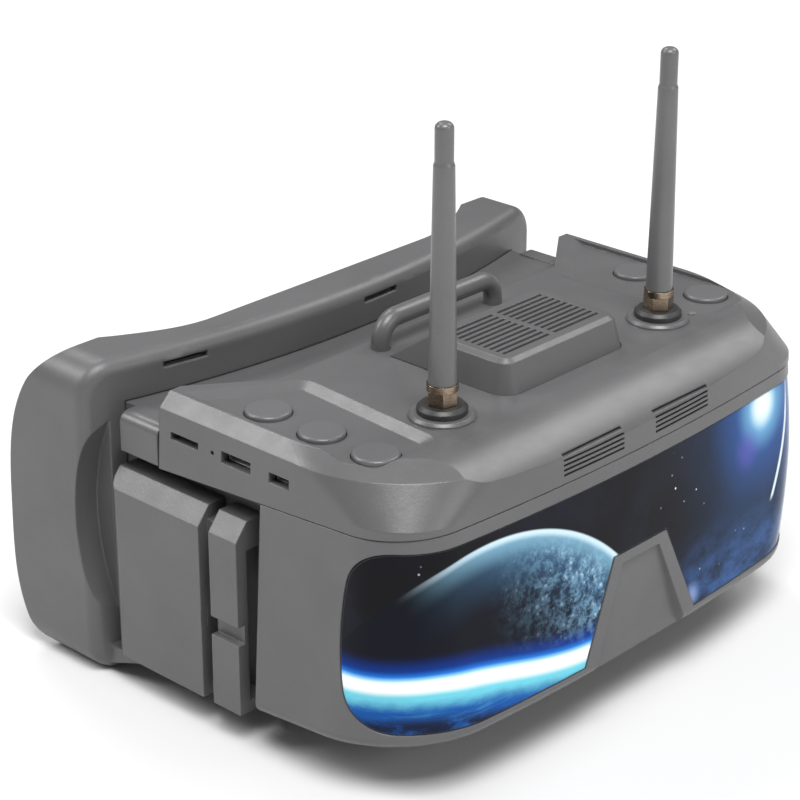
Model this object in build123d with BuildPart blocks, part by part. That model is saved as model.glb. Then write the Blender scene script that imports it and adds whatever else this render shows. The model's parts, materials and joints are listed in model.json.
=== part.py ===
"""First person view (FPV) goggles for flying drones: a box-shaped head-worn screen with two screw-on antennas.

Frame: +X to the viewer's right when facing the glossy front, +Y from the front towards the wearer's face, +Z up.
The origin is on the ground below the middle of the bounding box. Units are millimetres.
"""

import os
from math import atan, degrees, radians, sqrt, tan

from build123d import *

os.makedirs("parts", exist_ok=True)

# ---------------------------------------------------------------- driving dimensions
HALF_WIDTH = 98.2  # of the housing at ground level; the walls lean in upwards
FRONT = -85.6  # front of the housing at ground level
DRAFT = 3.5  # degrees that the housing's walls lean in
CORNER = 21.5  # plan radius of the two front corners, halfway up
BOW = 6.0  # how far the front bulges between its corners
WALL = 2.6
FIT = 0.3  # gap between moulded covers

FLOOR_ROUND = 4.0
FLOOR_FRONT, FLOOR_SLOPE = 19.0, 5.0  # underside height at the front, and degrees that it falls backwards
SEAM_FRONT, SEAM_SLOPE = 83.0, 3.8  # parting line between lower housing and top cover
DECK = 99.0  # top of the top cover
BRIM_FRONT, BRIM_BACK = 91.0, -55.5  # height where the brim starts at the front, and y where it meets the deck
EDGE_CHAMFER = 4.0
LOWER_ROUND, LOWER_FROM = 18.0, (58.0, 14.0)  # what the corner radius gains between these two heights
CORNER_FOOT, EDGE_CORNER, DECK_CORNER = 84.5, 41.5, 46.0  # where the corners open out upwards, and their radii there
SHELF = 97.5  # recessed area that holds the buttons
SHELF_BEVEL = 69.0  # degrees from upright of the bevel round the shelf
SPLIT = -21.5  # y where the front shell ends and the rear shell starts

REAR_HALF, NECK_TOP = 86.0, 88.0  # rear shell half width and height
REAR_WALL = 3.0
COVER_BACK, COVER_SIDE_BACK = 3.5, 20.0  # rear edge of the top cover in the middle and at the sides

PLATE_BACK, PLATE_LOW, PLATE_HIGH, PLATE_CORNER = -53.7, 23.0, 78.0, 14.0  # glossy faceplate
PLATE_BULGE = 4.0  # of its rear edges
PLATE_THICK, PLATE_SINK = 1.8, 0.3
NOTCH_TOP, NOTCH_TOP_HALF, NOTCH_BOTTOM_HALF = 51.5, 10.7, 23.5  # nose-shaped recess at the front
NOTCH_DEPTH, NOTCH_RIM = 4.0, 1.6

VENT_HALF, VENT_FRONT, VENT_BACK, VENT_TOP = 25.2, -51.4, -20.3, 108.8  # raised vent box, at its top
VENT_FLARE, VENT_CORNER = 2.6, 4.0
RAMP_BACK = -8.5  # where the ramp behind the vent box meets the deck
FAN_SIZE, FAN_HIGH, FAN_TOP, FAN_PITCH = 30.0, 7.0, 99.5, 24.0

ANTENNA_X, ANTENNA_Y, ANTENNA_TOP = 48.6, -48.3, 184.0
BOSS_RADIUS, BOSS_TOP = 9.6, 100.5
THREAD_RADIUS, JACK_TOP = 3.175, 106.8  # SMA barrel, a quarter of an inch across
RING_TOP, RING_RADIUS, NUT_TOP, NUT_RADIUS = 103.0, 7.2, 109.2, 4.6
WHIP_FOOT, WHIP_TIP, WHIP_STEP = 4.05, 2.65, 172.0

BOARD_TOP, SWITCH_HIGH = 91.0, 0.9  # top of the boards that carry the button switches
BUTTON_X, BUTTON_RADIUS, BUTTON_TOP = 77.5, 6.75, 98.8
LEFT_BUTTONS = {"rear": -9.0, "middle": -30.0, "front": -50.5}  # y of each
RIGHT_BUTTONS = {"rear": -17.0, "front": -45.0}

LOOP_HALF, LOOP_Y, LOOP_HEIGHT, LOOP_RADIUS = 25.0, -2.5, 107.4, 2.9  # strap loop on top

POCKET = 0.5  # rear end of the strap pocket in each side; its front end is at SPLIT
STRAP_OUT, STRAP_LEDGE = 97.0, 65.5  # outer face of the strap mount, and the height where its top starts to slope
BAR_FRONT, BAR_BACK, BAR_THICK = -15.0, -3.8, 4.0
MOUNT_BACK = 38.5

SCREEN_WIDE, SCREEN_HIGH, SCREEN_THICK, SCREEN_Y = 105.5, 67.2, 2.9, -56.0  # 4.3 inch display panel
LENS_WIDE, LENS_HIGH, LENS_THICK, LENS_Y, LENS_Z, LENS_FRAME = 132.0, 66.0, 2.2, 22.1, 50.0, 3.5
BOARD_Y, BATTERY_Y = -75.5, -66.5

MASK_HALF, MASK_TOP, MASK_WALL = 100.0, 101.5, 2.8
MASK_TOP_CORNER, MASK_LOW_CORNER, TIGHTEST = 11.0, 10.0, 5.0
MASK_FRONT, MASK_FRONT_RADIUS = 31.5, 355.0  # y of its front wall in the middle, and the wall's plan radius
RIM_MIDDLE, BROW_FLAT = 47.0, 46.0  # y of the rim at the forehead, and half the width of its flat part
RIM_SIDE = [(68.0, -1.0), (78.5, 13.0), (81.5, 45.0), (78.0, 76.0), (58.0, 103.0)]  # side view of the rim, y and z
SCALLOP_HALF, SCALLOP_LOW, SCALLOP_MIDDLE, SCALLOP_HIGH = 91.5, 26.0, 51.0, 30.0
MASK_ROUND = 4.2
MASK_VENTS, MASK_VENT_Z, MASK_VENT_WIDE = (-66.0, 11.0), 96.6, 15.0  # air slots, not alike on both sides
NOSE_HALF, NOSE_HIGH = 20.0, 40.0
PAD_PROUD, PAD_DEEP, PAD_WIDE = 4.0, 8.0, 13.0

PORT_FLOOR, PORT_FACE = 86.2, -90.0  # top of the port board, and x of the sockets' mouths
SHOULDER = 88.5
PORT_Z = 88.0
PORTS = {"memory_card": (9.5, 11.4, 2.2), "video": (-11.5, 11.8, 3.6), "usb": (-28.5, 7.8, 3.0)}  # y, width, height
PINHOLE_Y = -2.0
LIGHT_X, LIGHT_Y = 59.5, -53.1

FAR = 130.0  # longer than anything here, for cuts that run right through


def floor_at(y):
    """Height of the housing's sloping underside."""
    return FLOOR_FRONT - (y - FRONT) * tan(radians(FLOOR_SLOPE))


def seam_at(y):
    """Height of the parting line between the lower housing and the top cover."""
    return SEAM_FRONT - (y - FRONT) * tan(radians(SEAM_SLOPE))


def corner_at(height):
    """Radius of the housing's front corners at a height: it grows towards the floor."""
    start, end = LOWER_FROM
    return CORNER + LOWER_ROUND * max((start - height) / (start - end), 0.0) ** 1.5


def housing_plan(inset, height, back=60.0, corner=CORNER):
    """The housing's outline at a height, moved inwards by inset: bowed front, rounded front corners, straight sides."""
    lean = inset + height * tan(radians(DRAFT))
    half, front = HALF_WIDTH - lean, FRONT + lean
    with BuildSketch(Plane.XY.offset(height), mode=Mode.PRIVATE) as plan:
        with BuildLine():
            ThreePointArc((-half, front + BOW), (0, front), (half, front + BOW))
            Polyline((half, front + BOW), (half, back), (-half, back), (-half, front + BOW))
        make_face()
        corners = plan.vertices().group_by(Axis.Y)[0]
        fillet(corners, corner - inset)
    return plan.sketch


def housing(inset, low=0.0, high=115.0, back=60.0):
    """A solid with the housing's drafted outside, moved inwards by inset."""
    heights = [low] + [level for level in (14.0, 25.0, 36.0, 47.0, 58.0, 71.0) if low < level < high] + [high]
    return loft([housing_plan(inset, level, back, corner_at(level)) for level in heights], mode=Mode.PRIVATE)


def side_prism(points, half=FAR):
    """A prism across the whole width whose side view is the outline points, given as (y, z)."""
    with BuildSketch(Plane.YZ, mode=Mode.PRIVATE) as view:
        with BuildLine():
            Polyline(*points, close=True)
        make_face()
    return extrude(view.sketch, amount=half, both=True, mode=Mode.PRIVATE)


def front_prism(points, near, far):
    """A prism along Y from near to far whose front view is the outline points, given as (x, z)."""
    with BuildSketch(Plane.XZ.offset(-near), mode=Mode.PRIVATE) as view:
        with BuildLine():
            Polyline(*points, close=True)
        make_face()
    return extrude(view.sketch, amount=near - far, mode=Mode.PRIVATE)


def neck_arc(back):
    """The space behind the curved front wall of the face mask, moved backwards by back."""
    with BuildSketch(Plane.XY.offset(-20), mode=Mode.PRIVATE) as plan:
        with Locations((0, MASK_FRONT + back + MASK_FRONT_RADIUS)):
            Circle(MASK_FRONT_RADIUS)
    return extrude(plan.sketch, amount=170, mode=Mode.PRIVATE)


def neck_body(inset, front, back):
    """The rear shell's outside, moved inwards by inset: straight sides, flat top and sloping floor."""
    low_front, low_back = floor_at(front) + inset, floor_at(back) + inset
    high = NECK_TOP - inset
    return side_prism(
        [(front, low_front), (back, low_back), (back, high), (front, high)], half=REAR_HALF - inset
    )


def mirrored(part):
    """The same piece on the other side of the object."""
    return mirror(part, about=Plane.YZ, mode=Mode.PRIVATE)


def save(part, label):
    """Writes one named sub-part."""
    part.label = label
    export_step(part, f"parts/{label}.step")


# ---------------------------------------------------------------- faceplate and front shell
def plate_prism(grow):
    """The faceplate's outline as a cutting body, made larger by grow: a band round the front and both corners."""
    rise, spread = NOTCH_TOP + NOTCH_RIM, (NOTCH_BOTTOM_HALF - NOTCH_TOP_HALF) / (NOTCH_TOP - PLATE_LOW)
    with BuildSketch(Plane.XZ.offset(50.0)) as view:
        with Locations((0, (PLATE_LOW + PLATE_HIGH) / 2)):
            Rectangle(2 * FAR, PLATE_HIGH - PLATE_LOW + 2 * grow)
        low = PLATE_LOW - 10
        top_half = NOTCH_TOP_HALF + NOTCH_RIM - grow
        low_half = top_half + spread * (rise - low)
        with BuildLine():
            Polyline(
                (-low_half, low), (-top_half, rise - grow), (top_half, rise - grow), (low_half, low), close=True
            )
        make_face(mode=Mode.SUBTRACT)
    band = extrude(view.sketch, amount=56, mode=Mode.PRIVATE)
    with BuildSketch(Plane.YZ, mode=Mode.PRIVATE) as side:
        low, high, middle = PLATE_LOW - grow, PLATE_HIGH + grow, (PLATE_LOW + PLATE_HIGH) / 2
        with BuildLine():
            edge = ThreePointArc(
                (PLATE_BACK + grow - PLATE_BULGE, low), (PLATE_BACK + grow, middle), (PLATE_BACK + grow - PLATE_BULGE, high)
            )
            Polyline(edge @ 1, (-FAR, high), (-FAR, low), edge @ 0)
        make_face()
        fillet(side.vertices().group_by(Axis.X)[-1], PLATE_CORNER + grow)
    return band & extrude(side.sketch, amount=FAR, both=True, mode=Mode.PRIVATE)


with BuildPart() as faceplate:
    add(housing(PLATE_SINK))
    add(housing(PLATE_SINK + PLATE_THICK, low=-5, high=120, back=70), mode=Mode.SUBTRACT)
    add(plate_prism(0.0), mode=Mode.INTERSECT)

base_screw_places = [(side * x, y) for side in (-1, 1) for x, y in ((80.0, -34.0), (62.0, -66.0))]

with BuildPart() as front_shell:
    add(housing(0.0))
    add(
        side_prism(
            [
                (FRONT - 5, floor_at(FRONT - 5)),
                (SPLIT, floor_at(SPLIT)),
                (SPLIT, seam_at(SPLIT)),
                (FRONT - 5, seam_at(FRONT - 5)),
            ]
        ),
        mode=Mode.INTERSECT,
    )
    fillet(front_shell.faces().sort_by(Axis.Z)[0].edges().group_by(Axis.Y)[0], FLOOR_ROUND)
    # the inside, with a thicker front wall behind the faceplate
    inside = housing(WALL, low=-5, high=120) & side_prism(
        [
            (FRONT + 7.5, floor_at(FRONT + 7.5) + WALL),
            (SPLIT - WALL, floor_at(SPLIT - WALL) + WALL),
            (SPLIT - WALL, FAR),
            (FRONT + 7.5, FAR),
        ]
    )
    add(inside, mode=Mode.SUBTRACT)
    # the opening in the rear wall, where the rear shell follows on
    add(neck_body(-FIT, SPLIT - 4 * WALL, 10), mode=Mode.SUBTRACT)
    # the faceplate's recess
    add(plate_prism(FIT) - housing(PLATE_SINK + PLATE_THICK + 0.15, low=-5, high=120, back=70), mode=Mode.SUBTRACT)
    # the nose-shaped recess, whose walls splay outwards
    with BuildSketch(Plane.XZ.offset(-(FRONT + NOTCH_DEPTH))) as nose:
        with BuildLine():
            Polyline(
                (-NOTCH_BOTTOM_HALF, 11.0),
                (-NOTCH_TOP_HALF + 2.5, NOTCH_TOP - 2.0),
                (NOTCH_TOP_HALF - 2.5, NOTCH_TOP - 2.0),
                (NOTCH_BOTTOM_HALF, 11.0),
                close=True,
            )
        make_face()
    extrude(nose.sketch, amount=8, taper=-25, mode=Mode.SUBTRACT)

    # bosses for the screws that come up through the floor
    for x, y in base_screw_places:
        with Locations((x, y, floor_at(y) + 5)):
            Cylinder(3.4, 9)
            Cylinder(1.0, 30, mode=Mode.SUBTRACT)
        with Locations((x, y, floor_at(y))):
            Cylinder(3.0, 3.4, mode=Mode.SUBTRACT)

with BuildPart() as base_screws:
    for x, y in base_screw_places:
        with Locations((x, y, floor_at(y) + 1.7)):
            Cylinder(2.8, 1.3, align=(Align.CENTER, Align.CENTER, Align.MAX))
            Cylinder(0.95, 7.5, align=(Align.CENTER, Align.CENTER, Align.MIN))

save(base_screws.part, "base_screws")
save(faceplate.part, "faceplate")
save(front_shell.part, "front_shell")


mount_low = floor_at(MOUNT_BACK) + 2.0  # underside of the strap mounts

# ---------------------------------------------------------------- rear shell
rear_outside = neck_body(0.0, SPLIT - 2 * WALL, 60)
rear_inside = neck_body(REAR_WALL, SPLIT - 20, 70)

pocket_outline = [(-98, -34), (-66, -34), (-66, 0), (-70, 4), (-80.5, 15.4), (-98, 15.4)]
with BuildSketch(Plane.XY.offset(NECK_TOP - 9)) as pocket_plan:
    with BuildLine():
        Polyline(*pocket_outline, close=True)
    make_face()
    mirror(about=Plane.YZ)
board_pockets = extrude(pocket_plan.sketch, amount=20)
flange_outside = neck_body(-5.0, 20, 60) & (Pos(0, 0, 104.0) * Box(160, 200, 200, mode=Mode.PRIVATE))
flange_room = neck_body(-5.3, 20, 60) & (Pos(0, 0, 103.7) * Box(160.6, 200, 200, mode=Mode.PRIVATE))
post_places = [(side * (REAR_HALF - 6.5), height) for side in (-1, 1) for height in (24.0, 74.0)]

with BuildPart() as rear_shell:
    add(rear_outside)
    add(neck_arc(MASK_WALL + 2.5), mode=Mode.SUBTRACT)
    # flange that clamps the face mask from the inside
    add((flange_outside & neck_arc(MASK_WALL + 0.05)) - neck_arc(MASK_WALL + 2.5))
    add(rear_inside, mode=Mode.SUBTRACT)
    # posts for the screws that hold the lens frame
    for x, z in post_places:
        with Locations((x, 14, z)):
            Box(7.5, 16, 8)
            Cylinder(0.9, 20, rotation=(90, 0, 0), mode=Mode.SUBTRACT)
    # room for the boards under the top cover's two shelves
    add(board_pockets, mode=Mode.SUBTRACT)
    # rounded shoulders between the top cover and the face mask
    with Locations((REAR_HALF + 2.75, 29, SHOULDER - 6), (-REAR_HALF - 2.75, 29, SHOULDER - 6)):
        Box(8.5, 16, 12)
    shoulder_edges = rear_shell.edges().filter_by(Axis.Y).filter_by(lambda e: e.center().Z > SHOULDER - 0.1)
    fillet([shoulder_edges.sort_by(Axis.X)[0], shoulder_edges.sort_by(Axis.X)[-1]], 3.5)

save(rear_shell.part, "rear_shell")


# ---------------------------------------------------------------- top cover
def cover_plan(grow):
    """Plan outline behind which the top cover ends: straight in the middle, swept back towards the sides."""
    with BuildSketch(Plane.XY.offset(60), mode=Mode.PRIVATE) as plan:
        with BuildLine():
            Polyline(
                (-FAR, -FAR),
                (FAR, -FAR),
                (FAR, COVER_SIDE_BACK + grow),
                (84, COVER_SIDE_BACK + grow),
                (62, COVER_BACK + grow),
                (-62, COVER_BACK + grow),
                (-84, COVER_SIDE_BACK + grow),
                (-FAR, COVER_SIDE_BACK + grow),
                close=True,
            )
        make_face()
    return extrude(plan.sketch, amount=50, mode=Mode.PRIVATE)


def cover_outside(inset):
    """The top cover's outside, moved inwards by inset: corners that open out, chamfered edge and curved brim."""
    high = DECK - inset
    edge = high - EDGE_CHAMFER
    foot = housing_plan(inset, CORNER_FOOT)
    middle = housing_plan(inset, edge, corner=EDGE_CORNER)
    top = housing_plan(inset + EDGE_CHAMFER, high, corner=DECK_CORNER + EDGE_CHAMFER)
    walls = housing(inset, low=60, high=CORNER_FOOT)
    crown = loft([foot, middle], ruled=True, mode=Mode.PRIVATE) + loft([middle, top], ruled=True, mode=Mode.PRIVATE)
    with BuildSketch(Plane.YZ, mode=Mode.PRIVATE) as view:
        with BuildLine():
            brim = ThreePointArc(
                (FRONT + 4.0 + inset, BRIM_FRONT - 3.0 - inset),
                (FRONT + 11.5 + inset, BRIM_FRONT + 4.0 - inset),
                (BRIM_BACK, high),
            )
            Polyline(brim @ 1, (60, high), (60, 50), (FRONT - 5, 50), (FRONT - 5, BRIM_FRONT - 6 - inset), brim @ 0)
        make_face()
    profile = extrude(view.sketch, amount=FAR, both=True, mode=Mode.PRIVATE)
    return (walls + crown) & profile & cover_plan(-inset)


above_seam = side_prism(
    [
        (FRONT - 5, seam_at(FRONT - 5) + FIT),
        (60, seam_at(60) + FIT),
        (60, 120),
        (FRONT - 5, 120),
    ]
)
shelf_outline = [(-64, -55), (-60, -5), (-94, 16), (-94, -55)]
with BuildSketch(Plane.XY.offset(SHELF)) as shelf_plan:
    with BuildLine():
        Polyline(*shelf_outline, close=True)
    make_face()
    fillet(shelf_plan.vertices(), 2.0)
    mirror(about=Plane.YZ)
shelf_cut = extrude(shelf_plan.sketch, amount=3, taper=-SHELF_BEVEL) & housing(5.5)

vent_centre = (VENT_FRONT + VENT_BACK) / 2
vent_length = VENT_BACK - VENT_FRONT


def vent_box(inset, low, high):
    """The raised vent box's outside, moved inwards by inset: it flares towards its foot."""
    rise = VENT_TOP - DECK
    flare = VENT_FLARE * (VENT_TOP - low) / rise
    with BuildSketch(Plane.XY.offset(low), mode=Mode.PRIVATE) as foot:
        with Locations((0, vent_centre)):
            RectangleRounded(
                2 * (VENT_HALF - inset + flare), vent_length - 2 * inset + 2 * flare, VENT_CORNER + flare - inset
            )
    lean = degrees(atan(VENT_FLARE / rise))
    return extrude(foot.sketch, amount=high - low, taper=lean, mode=Mode.PRIVATE)


button_places = [(-BUTTON_X, y) for y in LEFT_BUTTONS.values()] + [(BUTTON_X, y) for y in RIGHT_BUTTONS.values()]
board_post_places = [(-BUTTON_X, -19.5), (-BUTTON_X, -40.2), (BUTTON_X, -31.0), (BUTTON_X, -4.0)]
antenna_places = [(-ANTENNA_X, ANTENNA_Y), (ANTENNA_X, ANTENNA_Y)]

with BuildPart() as top_cover:
    add(cover_outside(0.0))
    add(above_seam, mode=Mode.INTERSECT)
    add(cover_outside(WALL), mode=Mode.SUBTRACT)
    # clearance over the rear shell, which passes under the cover's rear edge
    add(neck_body(-FIT, SPLIT - 3 * WALL, 60), mode=Mode.SUBTRACT)
    # thicker floor under the button shelves, then the shelves themselves
    for side in (-1, 1):
        with Locations((side * 76, -24, SHELF - 2.4)):
            Box(30, 66, 2.6)
    add(cover_outside(0.0), mode=Mode.INTERSECT)
    add(shelf_cut, mode=Mode.SUBTRACT)
    # room for the buttons' flanges under the shelves
    with Locations(*[(x, y, SHELF - 2.4) for x, y in button_places]):
        Cylinder(BUTTON_RADIUS + 1.3, 8, align=(Align.CENTER, Align.CENTER, Align.MAX), mode=Mode.SUBTRACT)
    # bosses that the antennas screw down on
    with BuildSketch(Plane.XY.offset(DECK - WALL - 1.5)) as bosses:
        with Locations(*antenna_places):
            Circle(BOSS_RADIUS)
    extrude(bosses.sketch, amount=BOSS_TOP - DECK + WALL + 1.5)
    chamfer(top_cover.faces().filter_by(Plane.XY).group_by(Axis.Z)[-1].edges(), 0.8)
    # short posts that the button boards hang from
    with BuildSketch(Plane.XY.offset(BOARD_TOP)) as board_posts:
        with Locations(*board_post_places):
            Circle(1.9)
            Circle(0.7, mode=Mode.SUBTRACT)
    extrude(board_posts.sketch, amount=SHELF - 2.4 - BOARD_TOP)
    # foot of the vent box: an opening with a step that the box's cover drops into
    add(vent_box(-0.2, DECK - 12, VENT_TOP), mode=Mode.SUBTRACT)
    # holes for the antenna sockets, the buttons and the charge light
    with Locations(*[(x, y, DECK) for x, y in antenna_places]):
        Hole(THREAD_RADIUS + 0.05)
    with Locations(*[(x, y, DECK) for x, y in button_places]):
        Hole(BUTTON_RADIUS + 0.25)
    with Locations((LIGHT_X, LIGHT_Y, DECK)):
        Hole(1.3)
    # two blocks of slits in the brim, each slit right through the wall
    for side in (-1, 1):
        for row in range(5):
            with Locations((side * 20.1, FRONT + 6, 85.4 + 1.45 * row)):
                Box(25.8, 12, 0.75, mode=Mode.SUBTRACT)
    # openings for the ports in the left wall, and a pin hole for reset
    for y, width, height in PORTS.values():
        with Locations((-HALF_WIDTH + 6, y, PORT_Z)):
            Box(14, width, height, mode=Mode.SUBTRACT)
    with Locations(Location((-HALF_WIDTH + 6, PINHOLE_Y, PORT_Z), (0, 90, 0))):
        Cylinder(0.7, 14, mode=Mode.SUBTRACT)
    # seats for the strap loop's two feet
    for side in (-1, 1):
        with Locations((side * LOOP_HALF, LOOP_Y, DECK)):
            Cylinder(LOOP_RADIUS + 0.02, 20, mode=Mode.SUBTRACT)

save(top_cover.part, "top_cover")

with BuildPart() as vent_cover:
    add(vent_box(0.0, DECK - 4.0, VENT_TOP))
    chamfer(vent_cover.faces().sort_by(Axis.Z)[-1].edges(), 1.2)
    ramp = side_prism([(VENT_BACK - 3, DECK + 0.1), (RAMP_BACK, DECK + 0.1), (VENT_BACK - 3, VENT_TOP + 0.5)])
    low_half = VENT_HALF + VENT_FLARE
    trapezoid = [(-low_half, DECK), (low_half, DECK), (VENT_HALF, VENT_TOP - 0.3), (-VENT_HALF, VENT_TOP - 0.3)]
    add(ramp & front_prism(trapezoid, VENT_BACK - 4, RAMP_BACK + 1))
    add(vent_box(1.8, DECK - 10, VENT_TOP - 2.2), mode=Mode.SUBTRACT)
    # eleven slats along X are left between the slits, with one rib across the middle
    for row in range(10):
        y = VENT_FRONT + 3.6 + (row + 0.5) * (vent_length - 7.2) / 10
        with Locations((-11.2, y, VENT_TOP - 1), (11.2, y, VENT_TOP - 1)):
            Box(20.4, 1.25, 8, mode=Mode.SUBTRACT)
    # posts for the fan, and tabs that catch under the top cover
    with BuildSketch(Plane.XY.offset(FAN_TOP)) as fan_posts:
        with Locations((0, vent_centre)):
            with GridLocations(FAN_PITCH, FAN_PITCH, 2, 2):
                Circle(1.9)
                Circle(0.8, mode=Mode.SUBTRACT)
    extrude(fan_posts.sketch, amount=VENT_TOP - 2.2 - FAN_TOP)
    with Locations((0, vent_centre, DECK - WALL - 0.8)):
        with GridLocations(2 * (VENT_HALF + 4.4), 16, 2, 2):
            Box(4.6, 6, 1.2)

save(vent_cover.part, "vent_cover")


# ---------------------------------------------------------------- face mask and its foam
def mask_outline(inset, plane):
    """Front view of the face mask, moved inwards by inset: flatter at the forehead, rounder at the cheeks."""
    with BuildSketch(plane, mode=Mode.PRIVATE) as view:
        with Locations((0, MASK_TOP / 2)):
            Rectangle(2 * (MASK_HALF - inset), MASK_TOP - 2 * inset)
        fillet(view.vertices().group_by(Axis.Y)[-1], max(MASK_TOP_CORNER - inset, TIGHTEST))
        fillet(view.vertices().group_by(Axis.Y)[0], max(MASK_LOW_CORNER - inset, TIGHTEST))
    return view.sketch


def nose_arch(grow, plane):
    """Front view of the gap for the nose, made larger all round by grow."""
    with BuildSketch(plane, mode=Mode.PRIVATE) as view:
        with Locations((0, NOSE_HIGH - NOSE_HALF)):
            Circle(NOSE_HALF + grow)
        with Locations((0, (NOSE_HIGH - NOSE_HALF - 10) / 2)):
            Rectangle(2 * (NOSE_HALF + grow), NOSE_HIGH - NOSE_HALF + 10)
    return view.sketch


def face_form(back):
    """The wearer's face as a cutting body, moved backwards by back: a forehead curve and bulging temples."""
    brow = [(BROW_FLAT, RIM_MIDDLE), (BROW_FLAT + 24, RIM_MIDDLE + 7), (MASK_HALF - 12, RIM_MIDDLE + 19)]
    edge = [(x, y + back) for x, y in brow] + [(MASK_HALF + 4, RIM_MIDDLE + 42 + back)]
    with BuildSketch(Plane.XY.offset(-20), mode=Mode.PRIVATE) as plan:
        with BuildLine():
            right = Spline(*edge, tangents=[(1, 0), (0.6, 1)])
            left = mirror(right, about=Plane.YZ)
            Line((-BROW_FLAT, RIM_MIDDLE + back), (BROW_FLAT, RIM_MIDDLE + back))
            Polyline(right @ 1, (MASK_HALF + 4, 160), (-MASK_HALF - 4, 160), (-MASK_HALF - 4, edge[-1][1]))
        make_face()
    face = extrude(plan.sketch, amount=170, mode=Mode.PRIVATE)
    with BuildSketch(Plane.YZ, mode=Mode.PRIVATE) as view:
        with BuildLine():
            side = Spline(*[(y + back, z) for y, z in RIM_SIDE])
            Polyline(side @ 1, (150, RIM_SIDE[-1][1]), (150, RIM_SIDE[0][1]), side @ 0)
        make_face()
    return face + extrude(view.sketch, amount=FAR, both=True, mode=Mode.PRIVATE)


def scallop(inset, grow):
    """Hollow in each side of the mask behind the strap mounts, which swings back at mid height."""
    with BuildSketch(Plane.YZ, mode=Mode.PRIVATE) as view:
        with BuildLine():
            swing = ThreePointArc((SCALLOP_HIGH + grow, MASK_TOP), (SCALLOP_MIDDLE + grow, 50), (SCALLOP_LOW + grow, 0))
            Polyline(swing @ 1, (0, 0), (0, MASK_TOP), swing @ 0)
        make_face()
    sides = extrude(view.sketch, amount=FAR, both=True, mode=Mode.PRIVATE)
    return sides - Box(2 * (SCALLOP_HALF - inset), 300, 300, mode=Mode.PRIVATE)


mask_plane = Plane.XZ.offset(-140)
mask_outside = extrude(mask_outline(0.0, mask_plane), amount=130)
mask_inside = extrude(mask_outline(MASK_WALL, mask_plane), amount=130)
arch_outside = extrude(nose_arch(MASK_WALL, mask_plane), amount=130)
arch_inside = extrude(nose_arch(0.0, mask_plane), amount=130)

chin_view = [(27, mount_low - FIT), (54, 0), (60, 0), (60, mount_low - FIT)]
chin = side_prism(chin_view, half=MASK_HALF - 5) - neck_arc(MASK_WALL)
mount_room = front_prism(
    [(-FAR, mount_low - FIT), (FAR, mount_low - FIT), (FAR, 90), (-FAR, 90)], 0, MOUNT_BACK + FIT
)

with BuildPart() as face_mask:
    add(mask_outside)
    add(neck_arc(0.0), mode=Mode.INTERSECT)
    fillet(face_mask.faces().sort_by(Axis.Y)[0].edges(), MASK_ROUND)
    add(scallop(0.0, 0.0), mode=Mode.SUBTRACT)
    add((mask_inside & neck_arc(MASK_WALL)) - arch_outside - scallop(MASK_WALL, MASK_WALL), mode=Mode.SUBTRACT)
    add(arch_inside & neck_arc(MASK_WALL + 6.0), mode=Mode.SUBTRACT)
    add(neck_body(-FIT, 10, 46) - neck_arc(MASK_WALL), mode=Mode.SUBTRACT)
    add((flange_room & neck_arc(MASK_WALL)) - neck_arc(MASK_WALL + 2.8), mode=Mode.SUBTRACT)
    # chin that runs forwards under the rear shell, clear of it and of the strap mounts
    add((chin & mask_outside) - neck_body(-FIT, 0, 60) - mount_room)
    add(face_form(0.0), mode=Mode.SUBTRACT)
    # two air slots over the forehead
    for x in MASK_VENTS:
        with Locations((x, 34, MASK_VENT_Z)):
            Box(MASK_VENT_WIDE, 24, 1.8, mode=Mode.SUBTRACT)

pad_outside = extrude(mask_outline(MASK_WALL + FIT, mask_plane) - nose_arch(MASK_WALL + FIT, mask_plane), amount=130)
pad_inside = extrude(
    mask_outline(MASK_WALL + FIT + PAD_WIDE, mask_plane) - nose_arch(MASK_WALL + FIT + 8, mask_plane), amount=130
)

with BuildPart() as foam_pad:
    add(pad_outside)
    add(pad_inside, mode=Mode.SUBTRACT)
    add(face_form(PAD_PROUD), mode=Mode.SUBTRACT)
    add(face_form(-PAD_DEEP), mode=Mode.INTERSECT)
    add(neck_arc(MASK_WALL + 4.0), mode=Mode.INTERSECT)

save(face_mask.part, "face_mask")
save(foam_pad.part, "foam_pad")


# ---------------------------------------------------------------- strap mounts and top loop
ledge_view = [
    (REAR_HALF + 0.3, mount_low),
    (STRAP_OUT, mount_low),
    (STRAP_OUT, STRAP_LEDGE),
    (STRAP_OUT - 4.5, STRAP_LEDGE + 5.5),
    (REAR_HALF + 0.3, STRAP_LEDGE + 5.5),
]
hollow_view = [
    (REAR_HALF - 2, mount_low + 2.5),
    (STRAP_OUT - 2.5, mount_low + 2.5),
    (STRAP_OUT - 2.5, STRAP_LEDGE - 1.0),
    (STRAP_OUT - 6.0, STRAP_LEDGE + 3.0),
    (REAR_HALF - 2, STRAP_LEDGE + 3.0),
]
bar_middle = (mount_low + STRAP_LEDGE) / 2
bar_centre = (BAR_FRONT + BAR_BACK) / 2
channel = STRAP_OUT - BAR_THICK - REAR_HALF

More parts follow.
